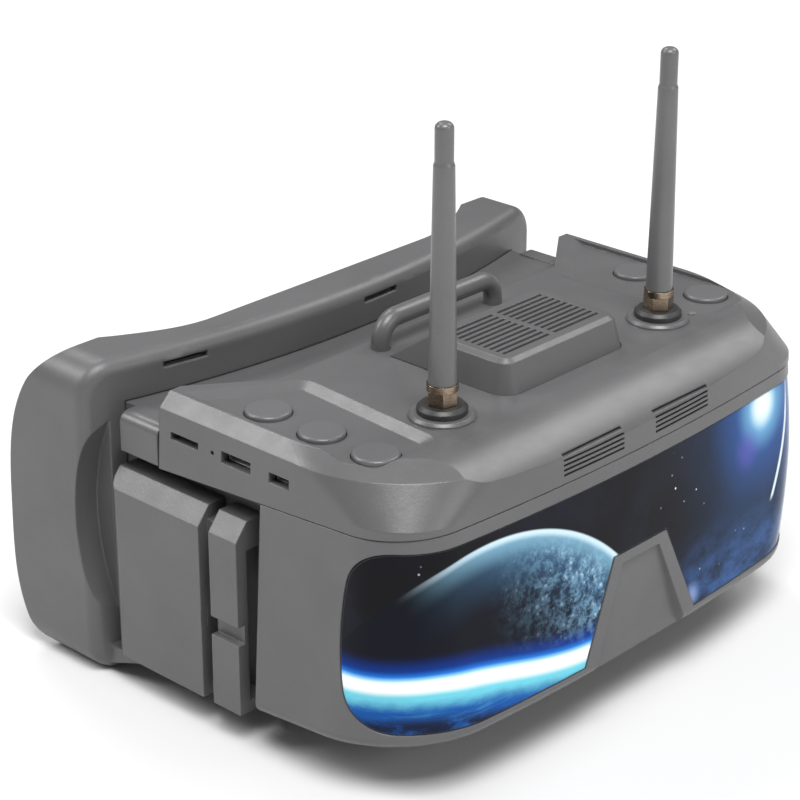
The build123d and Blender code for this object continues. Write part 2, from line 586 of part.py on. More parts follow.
with BuildPart() as strap_mount_right:
    # block behind the pocket, hollow towards the rear shell
    add(front_prism(ledge_view, POCKET, MOUNT_BACK))
    fillet(strap_mount_right.edges().filter_by(Axis.Z).group_by(Axis.Y)[-1].sort_by(Axis.X)[-1], 3.0)
    add(front_prism(hollow_view, POCKET + 2.5, MOUNT_BACK - 2.5), mode=Mode.SUBTRACT)
    # bar across the pocket, joined to the block by a bridge above and below
    add(front_prism(ledge_view, BAR_FRONT, BAR_BACK))
    with Locations((REAR_HALF + channel / 2, bar_centre, bar_middle)):
        Box(channel, 20, STRAP_LEDGE - mount_low - 7, mode=Mode.SUBTRACT)
    bridges = [STRAP_LEDGE - 0.5, mount_low + 1.75]
    with Locations(*[(REAR_HALF + 0.3 + channel / 2, (BAR_BACK + POCKET) / 2, z) for z in bridges]):
        Box(channel, POCKET - BAR_BACK + 1, 3.5)
    # waist round the middle of the bar
    with Locations((STRAP_OUT, bar_centre, bar_middle - 2)):
        Box(5, 20, 6, mode=Mode.SUBTRACT)

save(strap_mount_right.part, "strap_mount_right")
save(mirrored(strap_mount_right.part), "strap_mount_left")

with BuildPart() as strap_loop:
    with BuildLine() as loop_path:
        Polyline(
            (-LOOP_HALF, LOOP_Y, DECK - 5),
            (-LOOP_HALF, LOOP_Y, LOOP_HEIGHT),
            (LOOP_HALF, LOOP_Y, LOOP_HEIGHT),
            (LOOP_HALF, LOOP_Y, DECK - 5),
        )
        fillet(loop_path.vertices().group_by(Axis.Z)[-1], 6.5)
    with BuildSketch(Plane(origin=(-LOOP_HALF, LOOP_Y, DECK - 5), z_dir=(0, 0, 1))):
        Circle(LOOP_RADIUS)
    sweep()
    # collars that hold the feet under the deck
    for side in (-1, 1):
        with Locations((side * LOOP_HALF, LOOP_Y - 0.2, DECK - WALL - 1.25)):
            Box(9, 6, 2.2)

save(strap_loop.part, "strap_loop")

# ---------------------------------------------------------------- antennas
with BuildPart() as antenna_jack:
    with BuildSketch(Plane.XY.offset(DECK - WALL - 4.5)) as jack_section:
        with Locations((ANTENNA_X, ANTENNA_Y)):
            Circle(THREAD_RADIUS)
            Circle(1.6, mode=Mode.SUBTRACT)
    extrude(jack_section.sketch, amount=JACK_TOP - DECK + WALL + 4.5)
    with BuildSketch(Plane.XY.offset(DECK - WALL - 4.5)) as jack_flange:
        with Locations((ANTENNA_X, ANTENNA_Y)):
            RegularPolygon(5.4, 6)
            Circle(THREAD_RADIUS - 0.5, mode=Mode.SUBTRACT)
    extrude(jack_flange.sketch, amount=2.9)

with BuildPart() as jack_core:
    with BuildSketch(Plane.XY.offset(DECK - WALL - 6.5)) as core_section:
        with Locations((ANTENNA_X, ANTENNA_Y)):
            Circle(1.6)
    extrude(core_section.sketch, amount=JACK_TOP - DECK + WALL + 5.5)

with BuildPart() as antenna_ring:
    with BuildSketch(Plane.XY.offset(BOSS_TOP)) as ring_section:
        with Locations((ANTENNA_X, ANTENNA_Y)):
            Circle(RING_RADIUS)
            Circle(THREAD_RADIUS + 0.06, mode=Mode.SUBTRACT)
    extrude(ring_section.sketch, amount=RING_TOP - BOSS_TOP)
    chamfer(antenna_ring.faces().sort_by(Axis.Z)[-1].edges().sort_by(SortBy.LENGTH)[-1], 1.0)

with BuildPart() as antenna_nut:
    with BuildSketch(Plane.XY.offset(RING_TOP + 0.1)) as nut_section:
        with Locations((ANTENNA_X, ANTENNA_Y)):
            RegularPolygon(NUT_RADIUS, 6, rotation=15)
            Circle(THREAD_RADIUS + 0.06, mode=Mode.SUBTRACT)
    extrude(nut_section.sketch, amount=JACK_TOP + 0.3 - RING_TOP)
    with BuildSketch(Plane.XY.offset(JACK_TOP + 0.4)) as cap_section:
        with Locations((ANTENNA_X, ANTENNA_Y)):
            Circle(WHIP_FOOT + 0.45)
    extrude(cap_section.sketch, amount=NUT_TOP - JACK_TOP - 0.4)

with BuildPart() as antenna_whip:
    with BuildSketch(Plane.XZ.offset(-ANTENNA_Y)) as whip_half:
        with BuildLine():
            Polyline(
                (ANTENNA_X, NUT_TOP),
                (ANTENNA_X + WHIP_FOOT, NUT_TOP),
                (ANTENNA_X + WHIP_TIP + 0.35, WHIP_STEP),
                (ANTENNA_X + WHIP_TIP, WHIP_STEP + 1.0),
                (ANTENNA_X + WHIP_TIP, ANTENNA_TOP),
                (ANTENNA_X, ANTENNA_TOP),
                close=True,
            )
        make_face()
    revolve(whip_half.sketch, axis=Axis((ANTENNA_X, ANTENNA_Y, 0), (0, 0, 1)))
    fillet(antenna_whip.faces().sort_by(Axis.Z)[-1].edges(), 1.9)

for piece, label in (
    (antenna_jack.part, "antenna_jack"),
    (jack_core.part, "antenna_jack_core"),
    (antenna_ring.part, "antenna_ring"),
    (antenna_nut.part, "antenna_nut"),
    (antenna_whip.part, "antenna_whip"),
):
    save(mirrored(piece), f"{label}_left")
    save(piece, f"{label}_right")

# ---------------------------------------------------------------- buttons, their boards and switches
flange_top = SHELF - 2.4 - 1.3 - 0.1


def button(x, y):
    """A round push button with a domed top and a retaining flange under the shelf."""
    with BuildPart(mode=Mode.PRIVATE) as cap:
        with BuildSketch(Plane.XY.offset(flange_top - 0.9)) as flange:
            with Locations((x, y)):
                Circle(BUTTON_RADIUS + 0.9)
        extrude(flange.sketch, amount=0.9)
        with BuildSketch(Plane.XY.offset(flange_top - 0.9)) as stem:
            with Locations((x, y)):
                Circle(BUTTON_RADIUS)
        extrude(stem.sketch, amount=BUTTON_TOP - flange_top + 0.9)
        fillet(cap.faces().sort_by(Axis.Z)[-1].edges(), 0.8)
    return cap.part


for place, y in LEFT_BUTTONS.items():
    save(button(-BUTTON_X, y), f"button_left_{place}")
for place, y in RIGHT_BUTTONS.items():
    save(button(BUTTON_X, y), f"button_right_{place}")

for side, rows in (("left", LEFT_BUTTONS), ("right", RIGHT_BUTTONS)):
    x = -BUTTON_X if side == "left" else BUTTON_X
    with BuildPart() as button_board:
        with BuildSketch(Plane.XY.offset(BOARD_TOP - 1.0)) as board_plan:
            with Locations((x, -28)):
                RectangleRounded(15, 60, 2)
            for post_x, post_y in board_post_places:
                with Locations((post_x, post_y)):
                    Circle(0.8, mode=Mode.SUBTRACT)
        extrude(board_plan.sketch, amount=1.0)
    save(button_board.part, f"button_board_{side}")
    with BuildPart() as switches:
        for y in rows.values():
            with Locations((x, y, BOARD_TOP + SWITCH_HIGH / 2)):
                Box(4.5, 4.5, SWITCH_HIGH)
    save(switches.part, f"button_switches_{side}")

# ---------------------------------------------------------------- side ports
with BuildPart() as port_board:
    with BuildSketch(Plane.XY.offset(PORT_FLOOR - 1.2)) as port_plan:
        with BuildLine():
            Polyline((-89.3, -33), (-72, -33), (-72, 2), (-82, 13), (-82, 15), (-89.3, 15), close=True)
        make_face()
    extrude(port_plan.sketch, amount=1.2)

save(port_board.part, "port_board")

for name, (y, width, height) in PORTS.items():
    deep = 9.0 if name == "memory_card" else 7.5
    top = PORT_Z + height / 2 - 0.1
    middle = PORT_FACE + deep / 2
    with BuildPart() as socket:
        with Locations((middle, y, (PORT_FLOOR + top) / 2)):
            Box(deep, width - 0.4, top - PORT_FLOOR)
        with Locations((middle - 1.0, y, PORT_Z)):
            Box(deep, width - 1.2, height - 0.9, mode=Mode.SUBTRACT)
        # contact tongue inside the mouth
        if name != "memory_card":
            with Locations((middle + 1.0, y, PORT_Z)):
                Box(deep - 2, width - 3.4, 0.7)
    save(socket.part, f"{name}_socket")

# ---------------------------------------------------------------- cooling fan
with BuildPart() as fan_frame:
    with Locations((0, vent_centre, FAN_TOP - FAN_HIGH / 2)):
        Box(FAN_SIZE, FAN_SIZE, FAN_HIGH)
        Cylinder(FAN_SIZE / 2 - 1.0, FAN_HIGH, mode=Mode.SUBTRACT)
        with GridLocations(FAN_PITCH, FAN_PITCH, 2, 2):
            Cylinder(1.3, FAN_HIGH, mode=Mode.SUBTRACT)
    with Locations((0, vent_centre, FAN_TOP - FAN_HIGH + 0.6)):
        Box(FAN_SIZE - 1, 2.0, 1.2)
        Box(2.0, FAN_SIZE - 1, 1.2)
        Cylinder(6.5, 1.2)
    with Locations((0, vent_centre, FAN_TOP - FAN_HIGH + 2.6)):
        Cylinder(1.0, 4.0)

with BuildPart() as fan_rotor:
    with BuildSketch(Plane.XY.offset(FAN_TOP - FAN_HIGH + 1.6)) as hub:
        with Locations((0, vent_centre)):
            Circle(6.3)
    extrude(hub.sketch, amount=FAN_HIGH - 2.0)
    with BuildSketch(Plane.XY.offset(FAN_TOP - FAN_HIGH + 1.6)) as hub_bore:
        with Locations((0, vent_centre)):
            Circle(1.05)
    extrude(hub_bore.sketch, amount=3.2, mode=Mode.SUBTRACT)
    with Locations((0, vent_centre, FAN_TOP - FAN_HIGH + 3.9)):
        with PolarLocations(9.4, 7):
            Box(8.0, 0.8, 3.6, rotation=(40, 0, 0))

save(fan_frame.part, "fan_frame")
save(fan_rotor.part, "fan_rotor")

# ---------------------------------------------------------------- display, hood and lens
screen_middle = 54.2
with BuildPart() as display_panel:
    with Locations((0, SCREEN_Y, screen_middle)):
        Box(SCREEN_WIDE, SCREEN_THICK, SCREEN_HIGH)

with BuildPart() as display_frame:
    with Locations((0, SCREEN_Y, screen_middle)):
        Box(SCREEN_WIDE + 6, SCREEN_THICK + 3, SCREEN_HIGH + 2.4)
    with Locations((0, SCREEN_Y - 1.5, screen_middle)):
        Box(SCREEN_WIDE + 0.4, SCREEN_THICK + 0.2 + 3, SCREEN_HIGH + 0.4, mode=Mode.SUBTRACT)
    with Locations((0, SCREEN_Y, screen_middle)):
        Box(SCREEN_WIDE - 9, 20, SCREEN_HIGH - 8, mode=Mode.SUBTRACT)

hood_front = SCREEN_Y + SCREEN_THICK / 2 + 1.5 + 0.1
with BuildPart() as light_hood:
    with BuildSketch(Plane.XZ.offset(-hood_front)) as hood_narrow:
        with Locations((0, screen_middle)):
            RectangleRounded(SCREEN_WIDE - 2, 61, 4)
    with BuildSketch(Plane.XZ.offset(-LENS_Y + 0.1)) as hood_wide:
        with Locations((0, LENS_Z)):
            RectangleRounded(LENS_WIDE + 6, LENS_HIGH + 1, 6)
    loft([hood_narrow.sketch, hood_wide.sketch])
    with BuildSketch(Plane.XZ.offset(-hood_front + 1)) as bore_narrow:
        with Locations((0, screen_middle)):
            RectangleRounded(SCREEN_WIDE - 6, 57, 3)
    with BuildSketch(Plane.XZ.offset(-LENS_Y - 1)) as bore_wide:
        with Locations((0, LENS_Z)):
            RectangleRounded(LENS_WIDE + 2, LENS_HIGH - 3, 5)
    loft([bore_narrow.sketch, bore_wide.sketch], mode=Mode.SUBTRACT)

with BuildPart() as lens_frame:
    add(neck_body(REAR_WALL + 0.3, 10, 60))
    with BuildSketch(Plane.XZ.offset(-LENS_Y)) as keep_plate:
        with Locations((0, 50)):
            Rectangle(200, 120)
    extrude(keep_plate.sketch, amount=-LENS_FRAME, mode=Mode.INTERSECT)
    with Locations((0, LENS_Y + LENS_FRAME / 2, LENS_Z)):
        Box(LENS_WIDE - 5, 20, LENS_HIGH - 5, mode=Mode.SUBTRACT)
    with Locations((0, LENS_Y, LENS_Z)):
        Box(LENS_WIDE + 0.4, 2 * (LENS_THICK + 0.1), LENS_HIGH + 0.4, mode=Mode.SUBTRACT)
    for x, z in post_places:
        with Locations((x, LENS_Y, z)):
            Cylinder(1.1, 20, rotation=(90, 0, 0), mode=Mode.SUBTRACT)

with BuildPart() as lens:
    with Locations((0, LENS_Y + 0.1 + LENS_THICK / 2 - 0.05, LENS_Z)):
        Box(LENS_WIDE, LENS_THICK - 0.1, LENS_HIGH)

for piece, label in (
    (display_panel.part, "display_panel"),
    (display_frame.part, "display_frame"),
    (light_hood.part, "light_hood"),
    (lens_frame.part, "lens_frame"),
    (lens.part, "lens"),
):
    save(piece, label)

# ---------------------------------------------------------------- electronics behind the faceplate
with BuildPart() as main_board:
    with Locations((0, BOARD_Y, 58)):
        Box(106, 1.6, 40)

with BuildPart() as board_chips:
    for x, z, wide, high, deep in ((-38, 62, 14, 14, 1.6), (-12, 66, 10, 10, 1.2), (10, 50, 12, 8, 1.4), (36, 60, 9, 9, 1.2)):
        with Locations((x, BOARD_Y + 0.8 + deep / 2, z)):
            Box(wide, deep, high)

with BuildPart() as battery:
    with Locations((0, BATTERY_Y, 44)):
        Box(92, 8.5, 38)
    fillet(battery.edges().filter_by(Axis.X), 2.5)

with BuildPart() as receiver:
    with Locations((66, -64, 72)):
        Box(26, 6, 22)

with BuildPart() as speaker:
    with Locations(Location((-89.8, -44, 48), (0, 90, 0))):
        Cylinder(10, 4.5)

for piece, label in (
    (main_board.part, "main_board"),
    (board_chips.part, "board_chips"),
    (battery.part, "battery"),
    (speaker.part, "speaker"),
    (receiver.part, "receiver_right"),
    (mirrored(receiver.part), "receiver_left"),
):
    save(piece, label)

# ---------------------------------------------------------------- charge light and screws
with BuildPart() as charge_light:
    with Locations((LIGHT_X, LIGHT_Y, DECK - 1.6)):
        Cylinder(1.25, 3.6)
    with Locations((LIGHT_X, LIGHT_Y, DECK - WALL - 0.5)):
        Cylinder(1.45, 0.8)

save(charge_light.part, "charge_light")

with BuildPart() as lens_screws:
    for x, z in post_places:
        with Locations((x, LENS_Y + LENS_FRAME, z)):
            Cylinder(1.9, 1.2, rotation=(90, 0, 0), align=(Align.CENTER, Align.CENTER, Align.MAX))
            Cylinder(0.85, 11, rotation=(90, 0, 0), align=(Align.CENTER, Align.CENTER, Align.MIN))

save(lens_screws.part, "lens_screws")

flange_screw_places = [(x, z) for x in (-30, 30) for z in (NECK_TOP + 2.6, 6.3)]
with BuildPart() as mask_screws:
    for x, z in flange_screw_places:
        y = MASK_FRONT + MASK_FRONT_RADIUS - sqrt(MASK_FRONT_RADIUS**2 - x**2) + MASK_WALL + 2.7
        with Locations((x, y, z)):
            Cylinder(1.7, 1.0, rotation=(90, 0, 0), align=(Align.CENTER, Align.CENTER, Align.MAX))

save(mask_screws.part, "mask_screws")
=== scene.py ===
"""Looks of the FPV goggles: materials, the sewn face pad, light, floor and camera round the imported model.

Everything is in metres in the row frame: +Z up, +Y from the glossy front towards the wearer's face.
"""

import json
import math

import bpy
import numpy as np
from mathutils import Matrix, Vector
from mathutils.bvhtree import BVHTree


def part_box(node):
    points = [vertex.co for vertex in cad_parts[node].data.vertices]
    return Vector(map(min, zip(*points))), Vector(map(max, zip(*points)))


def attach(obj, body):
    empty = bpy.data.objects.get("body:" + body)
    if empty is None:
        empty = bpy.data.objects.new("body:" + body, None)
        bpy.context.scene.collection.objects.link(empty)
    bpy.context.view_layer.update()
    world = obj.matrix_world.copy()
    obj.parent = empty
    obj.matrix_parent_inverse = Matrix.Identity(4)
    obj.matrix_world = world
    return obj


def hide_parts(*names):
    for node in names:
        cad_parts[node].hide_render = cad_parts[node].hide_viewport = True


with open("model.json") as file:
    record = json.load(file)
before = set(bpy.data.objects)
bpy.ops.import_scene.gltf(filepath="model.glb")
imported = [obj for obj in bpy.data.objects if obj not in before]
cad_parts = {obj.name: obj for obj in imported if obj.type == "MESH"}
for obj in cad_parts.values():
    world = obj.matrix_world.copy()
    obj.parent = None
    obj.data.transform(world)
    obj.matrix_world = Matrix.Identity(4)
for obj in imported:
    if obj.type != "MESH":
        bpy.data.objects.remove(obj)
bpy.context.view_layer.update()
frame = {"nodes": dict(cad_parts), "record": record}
nodes = frame["nodes"]
scene = bpy.context.scene
MM = 0.001


# ---------------------------------------------------------------- shader building
class Term:
    """A number worked out by shader nodes, joined to others with Python's own operators."""

    def __init__(self, graph, socket):
        self.graph, self.socket = graph, socket

    def maths(self, operation, *others):
        """The result of one Math node that starts with this term."""
        node = self.graph.node("ShaderNodeMath", operation=operation)
        for place, value in enumerate((self, *others)):
            self.graph.put(node.inputs[place], value)
        return Term(self.graph, node.outputs[0])

    def __add__(self, other):
        return self.maths("ADD", other)

    def __sub__(self, other):
        return self.maths("SUBTRACT", other)

    def __mul__(self, other):
        return self.maths("MULTIPLY", other)

    def __truediv__(self, other):
        return self.maths("DIVIDE", other)

    def __abs__(self):
        return self.maths("ABSOLUTE")

    def step(self, start, end, low=0.0, high=1.0):
        """Goes smoothly from low to high as the term goes from start to end."""
        inputs = {"Value": self, "From Min": start, "From Max": end, "To Min": low, "To Max": high}
        node = self.graph.node("ShaderNodeMapRange", inputs, interpolation_type="SMOOTHSTEP")
        return Term(self.graph, node.outputs["Result"])


class Graph:
    """One material's node tree, with short ways to add nodes to it."""

    def __init__(self, name):
        self.material = bpy.data.materials.new(name)
        self.material.use_nodes = True
        self.tree = self.material.node_tree
        self.tree.nodes.clear()
        self.place = self.node("ShaderNodeTexCoord").outputs["Object"]

    def node(self, kind, inputs=(), **settings):
        made = self.tree.nodes.new(kind)
        for key, value in settings.items():
            setattr(made, key, value)
        for key, value in dict(inputs).items():
            self.put(made.inputs[key], value)
        return made

    def put(self, socket, value):
        """Sets a socket, or joins it to a term or another socket."""
        value = value.socket if isinstance(value, Term) else value
        if isinstance(value, bpy.types.NodeSocket):
            self.tree.links.new(value, socket)
        else:
            socket.default_value = value

    def axes(self):
        """x, y and z of the row frame, in millimetres."""
        split = self.node("ShaderNodeSeparateXYZ", {"Vector": self.place})
        return [Term(self, split.outputs[k]) / MM for k in ("X", "Y", "Z")]

    def noise(self, size, detail=3.0, rough=0.55, stretch=(1.0, 1.0, 1.0)):
        """Noise with features about size metres across, stretched along the axes."""
        inputs = {"Vector": self.place, "Scale": tuple(1 / (size * s) for s in stretch)}
        scaled = self.node("ShaderNodeMapping", inputs)
        inputs = {"Vector": scaled.outputs["Vector"], "Scale": 1.0, "Detail": detail, "Roughness": rough}
        return Term(self, self.node("ShaderNodeTexNoise", inputs).outputs["Fac"])

    def cells(self, size, feature="F1"):
        """Distance to the nearest of scattered points about size metres apart."""
        inputs = {"Vector": self.place, "Scale": 1 / size}
        return Term(self, self.node("ShaderNodeTexVoronoi", inputs, feature=feature).outputs["Distance"])

    def blend(self, share, first, second):
        """first where share is 0, second where it is 1."""
        inputs = {0: share, 6: first, 7: second}
        return self.node("ShaderNodeMix", inputs, data_type="RGBA").outputs[2]

    def rounded(self, radius):
        """The normal with edges rounded to radius, and how close each point is to an edge, from 0 to 1."""
        bevel = self.node("ShaderNodeBevel", {"Radius": radius}, samples=4)
        flat = self.node("ShaderNodeNewGeometry").outputs["Normal"]
        both = {0: bevel.outputs["Normal"], 1: flat}
        dot = self.node("ShaderNodeVectorMath", both, operation="DOT_PRODUCT")
        return bevel.outputs["Normal"], Term(self, dot.outputs["Value"]).step(0.99, 0.86)

    def bump(self, height, depth, normal=None):
        """A normal that follows height, which stands for depth metres."""
        inputs = {"Height": height, "Distance": depth, "Strength": 1.0}
        if normal is not None:
            inputs["Normal"] = normal
        return self.node("ShaderNodeBump", inputs).outputs["Normal"]

    def finish(self, **inputs):
        """Joins the inputs to a Principled shader and returns the material; underscores stand for spaces."""
        shader = self.node("ShaderNodeBsdfPrincipled", {k.replace("_", " "): v for k, v in inputs.items()})
        output = self.node("ShaderNodeOutputMaterial")
        self.tree.links.new(shader.outputs["BSDF"], output.inputs["Surface"])
        return self.material


def grey(level, blue=1.03):
    """A nearly neutral colour that leans slightly to blue."""
    return (level, level, level * blue, 1.0)


def tint(colour, factor):
    """The colour made lighter or darker by a factor."""
    return tuple(min(1.0, c * factor) for c in colour[:3]) + (1.0,)


# ---------------------------------------------------------------- materials
def moulded_plastic(name, colour, roughness=0.5, grain=0.55 * MM, depth=0.02 * MM, edge=0.5 * MM, scuff_and_highlight_amount=0.5):
    """Spark-textured plastic: fine grain, faint flow marks, handling marks, and edges made lighter, partly
    scuffed and partly a painted highlight.
    """
    g = Graph(name)
    fine = g.noise(grain, detail=2.0)
    pits = g.cells(grain * 1.7)
    flow = g.noise(42 * MM, detail=4.0, stretch=(1.6, 1.0, 0.7))
    marks = g.noise(7 * MM, detail=6.0, rough=0.7)
    normal, near_edge = g.rounded(edge)
    # edges lightened: partly scuffs from handling, partly a painted highlight along the edges
    scuff_and_highlight = near_edge * marks.step(0.35, 0.62) * scuff_and_highlight_amount
    body = g.blend(flow.step(0.3, 0.7), tint(colour, 0.92), tint(colour, 1.08))
    speckled = g.blend(fine.step(0.35, 0.75) * 0.25, body, tint(colour, 1.25))
    scuffed_and_highlit = g.blend(scuff_and_highlight, speckled, tint(colour, 1.9))
    rough = marks.step(0.3, 0.75, roughness - 0.02, roughness + 0.04) - scuff_and_highlight * 0.12
    return g.finish(
        Base_Color=scuffed_and_highlit,
        Roughness=rough,
        Normal=g.bump(fine + pits * 0.6, depth, normal),
        Specular_IOR_Level=0.6,
    )


# The printed picture, and a painted highlight drawn into it, on the plate unrolled flat. Places are (along,
# up) in millimetres: along runs from the middle round the plate's corners, positive to the right, and up is
# the height above the ground.
PLATE_FRONT = 84  # how far the plate's foremost point is ahead of y = 0
LIMB_CENTRE, LIMB_RADIUS = (-66.7, -3.6), 78.6  # the planet's disc
SUN, VIOLET, GLEAM, STAR_CROWD = (70, 75), (60, 63), (26, 27), (30, 65)
HIGHLIGHT_STREAK_END, HIGHLIGHT_STREAK_TOP, HIGHLIGHT_STREAK_BEND = 87, 80, 0.0088  # along, up and curvature of a painted highlight: a thin curved streak of light drawn where a lamp would reflect on the rounded right end

# (where it starts, where it is full, colour), in millimetres above the horizon
HORIZON_BANDS = (
    (9.5, 1.2, (0.002, 0.045, 0.33, 1)),
    (4.6, 1.4, (0.02, 0.24, 0.78, 1)),
    (2.9, 0.9, (0.42, 0.78, 0.97, 1)),
    (1.7, 0.4, (0.97, 0.98, 0.97, 1)),
)
# (where it starts, where it is full, share, colour), in millimetres from the sun
SUN_RINGS = (
    (36, 8, 0.7, (0.025, 0.10, 0.36, 1)),
    (17, 5, 1.0, (0.16, 0.42, 0.66, 1)),
    (9.5, 2.5, 1.0, (0.78, 0.92, 0.90, 1)),
)


def night_sky(g, along, z, cloud):
    """Nearly black on the left, with blue haze that thickens to the right end."""
    swirl = g.noise(24 * MM, detail=5.0, rough=0.6)
    sky = g.blend(swirl.step(0.42, 0.72), (0.006, 0.006, 0.008, 1), (0.010, 0.011, 0.019, 1))
    haze = along.step(14, 60) * (swirl * 0.7 + 0.3)
    sky = g.blend(haze, sky, (0.012, 0.040, 0.105, 1))
    low_haze = along.step(12, 30) * z.step(50, 22) * cloud.step(0.34, 0.66)
    sky = g.blend(low_haze * 0.8, sky, (0.045, 0.12, 0.33, 1))
    edge_haze = along.step(78, 100) * cloud.step(0.25, 0.6)
    return g.blend(edge_haze * 0.7, sky, (0.07, 0.20, 0.42, 1))


def planet_disc(g, along, limb):
    """The planet, dark inside and lit along its limb, which is at limb = 0; land and clouds at its right."""
    rocks = g.noise(3.2 * MM, detail=8.0, rough=0.75)
    day = limb.step(-21, -1) * along.step(-98, -50)
    planet = g.blend(day * (rocks * 0.3 + 0.7), (0.005, 0.006, 0.011, 1), (0.05, 0.135, 0.245, 1))
    land = g.blend(rocks.step(0.36, 0.62), (0.010, 0.042, 0.105, 1), (0.17, 0.33, 0.48, 1))
    coast = along.step(-70, -22) * limb.step(-44, -6)
    planet = g.blend(coast * rocks.step(0.3, 0.6), planet, land)
    glow = limb.step(-9, -0.4) * along.step(-102, -62)
    planet = g.blend(glow * 0.8, planet, (0.22, 0.44, 0.58, 1))
    rim = limb.step(-2.6, -0.5) * along.step(-106, -60)
    planet = g.blend(rim * 0.85, planet, (0.66, 0.82, 0.90, 1))
    clouds = g.cells(2.1 * MM).step(0.42, 0.12) * rocks.step(0.46, 0.60)
    return g.blend(clouds * coast * limb.step(-3, -8) * 0.55, planet, (0.62, 0.76, 0.84, 1))


def turquoise_sea(g, height, cloud):
    """The sea under the horizon: bright at height 0, then turquoise, deep blue and nearly black."""
    sea = g.blend(height.step(-1.6, -4.2), (0.95, 0.97, 0.95, 1), (0.16, 0.60, 0.72, 1))
    sea = g.blend((height + cloud * 5).step(-1.5, -7.0), sea, (0.008, 0.085, 0.34, 1))
    streaks = g.noise(4 * MM, detail=6.0, rough=0.7, stretch=(6.0, 6.0, 0.6))
    sea = g.blend(streaks.step(0.52, 0.70) * height.step(-5, -8) * 0.55, sea, (0.06, 0.26, 0.52, 1))
    return g.blend(height.step(-9, -14) * cloud.step(0.28, 0.52), sea, (0.008, 0.012, 0.035, 1))


def printed_gloss(name):
    """Clear gloss over a printed picture of space: a planet's limb, a bright horizon, haze and stars, with a
    painted highlight streak near the right end and painted highlights along the edges.
    """
    g = Graph(name)
    x, y, z = g.axes()
    along = x.maths("SIGN") * (abs(x) + y + PLATE_FRONT)
    left = along.step(12, -12)
    cloud = g.noise(9 * MM, detail=8.0, rough=0.65, stretch=(1.5, 1.5, 0.8))

    def from_centre(across, up):
        return ((along - across).maths("POWER", 2) + (z - up).maths("POWER", 2)).maths("SQRT")

    limb = from_centre(*LIMB_CENTRE) - LIMB_RADIUS
    inside = limb.step(0.35, -0.35) * left
    picture = g.blend(inside, night_sky(g, along, z, cloud), planet_disc(g, along, limb))

    # the horizon: a thin white band between deep blue above and the sea below
    height = z - along.step(-92, -20, 39.4, 28.2) + along.step(-95, -128) * 1.2
    for start, end, colour in HORIZON_BANDS:
        picture = g.blend(height.step(start, end) * left, picture, colour)
    picture = g.blend(height.step(0.4, -0.6) * left, picture, turquoise_sea(g, height, cloud))

    sun = from_centre(*SUN)
    for start, end, share, colour in SUN_RINGS:
        picture = g.blend(sun.step(start, end) * share, picture, colour)
    picture = g.blend(from_centre(*VIOLET).step(9, 1) * 0.5, picture, (0.11, 0.09, 0.45, 1))
    gleam = from_centre(*GLEAM) + cloud * 6 - 3
    picture = g.blend(gleam.step(5, 0.5) * 0.6, picture, (0.30, 0.42, 0.72, 1))

    # painted highlight: a thin curved streak of light drawn near the right end, where a lamp would reflect on
    # the rounded edge
    bend = along - HIGHLIGHT_STREAK_END + (z - HIGHLIGHT_STREAK_TOP).maths("POWER", 2) * HIGHLIGHT_STREAK_BEND
    painted_highlight_streak = abs(bend).step(1.2, 0.4) * z.step(40.5, 43) * z.step(79, 66, 0.35, 1.0)
    picture = g.blend(painted_highlight_streak * 0.85, picture, (0.84, 0.92, 0.96, 1))

    # stars, outside the planet and above the horizon, crowded in one place
    clear = inside.maths("SUBTRACT", 1).maths("ABSOLUTE")
    spots = g.cells(4.6 * MM).step(0.10, 0.03) * clear
    crowd = from_centre(*STAR_CROWD).step(17, 3) * 0.5 + g.noise(17 * MM, detail=1.0).step(0.56, 0.66) * 0.6
    stars = spots * crowd * (height.step(8, 16) + left.step(1, 0))
    picture = g.blend(stars.maths("MINIMUM", 1.0), picture, (0.72, 0.78, 0.94, 1))

    normal, near_edge = g.rounded(0.7 * MM)
    # painted highlight: the plate's edges lightened grey as if the gloss caught light there
    picture = g.blend(near_edge * 0.35, picture, (0.30, 0.33, 0.38, 1))
    orange_peel = g.noise(6 * MM, detail=2.0)
    smears = g.noise(28 * MM, detail=7.0, rough=0.7).step(0.45, 0.75, 0.07, 0.15)
    return g.finish(
        Base_Color=picture,
        Roughness=smears,
        Normal=g.bump(orange_peel, 0.012 * MM, normal),
        Specular_IOR_Level=0.09,
    )


def knitted_cloth(name, colour):
    """Brushed jersey over foam: short fibres, a fine rib and a soft sheen."""
    g = Graph(name)

    def ribs(direction, scale, distortion):
        inputs = {"Scale": scale, "Distortion": distortion, "Detail": 2.0, "Detail Scale": 2.0}
        wave = g.node("ShaderNodeTexWave", {"Vector": g.place, **inputs}, bands_direction=direction)
        return Term(g, wave.outputs["Fac"])

    weave = ribs("DIAGONAL", 320.0, 1.6) * 0.6 + ribs("Z", 300.0, 1.4) * 0.4
    fibres = g.noise(0.35 * MM, detail=4.0, rough=0.8)
    lint = g.noise(9 * MM, detail=5.0)
    base = g.blend(lint.step(0.3, 0.7), tint(colour, 0.8), tint(colour, 1.25))
    base = g.blend(weave * fibres * 0.9, base, tint(colour, 2.1))
    return g.finish(
        Base_Color=base,
        Roughness=fibres.step(0.2, 0.8, 0.82, 0.98),
        Normal=g.bump(weave + fibres * 0.8, 0.12 * MM),
        Sheen_Weight=0.35,
        Sheen_Roughness=0.4,
        Specular_IOR_Level=0.2,
    )


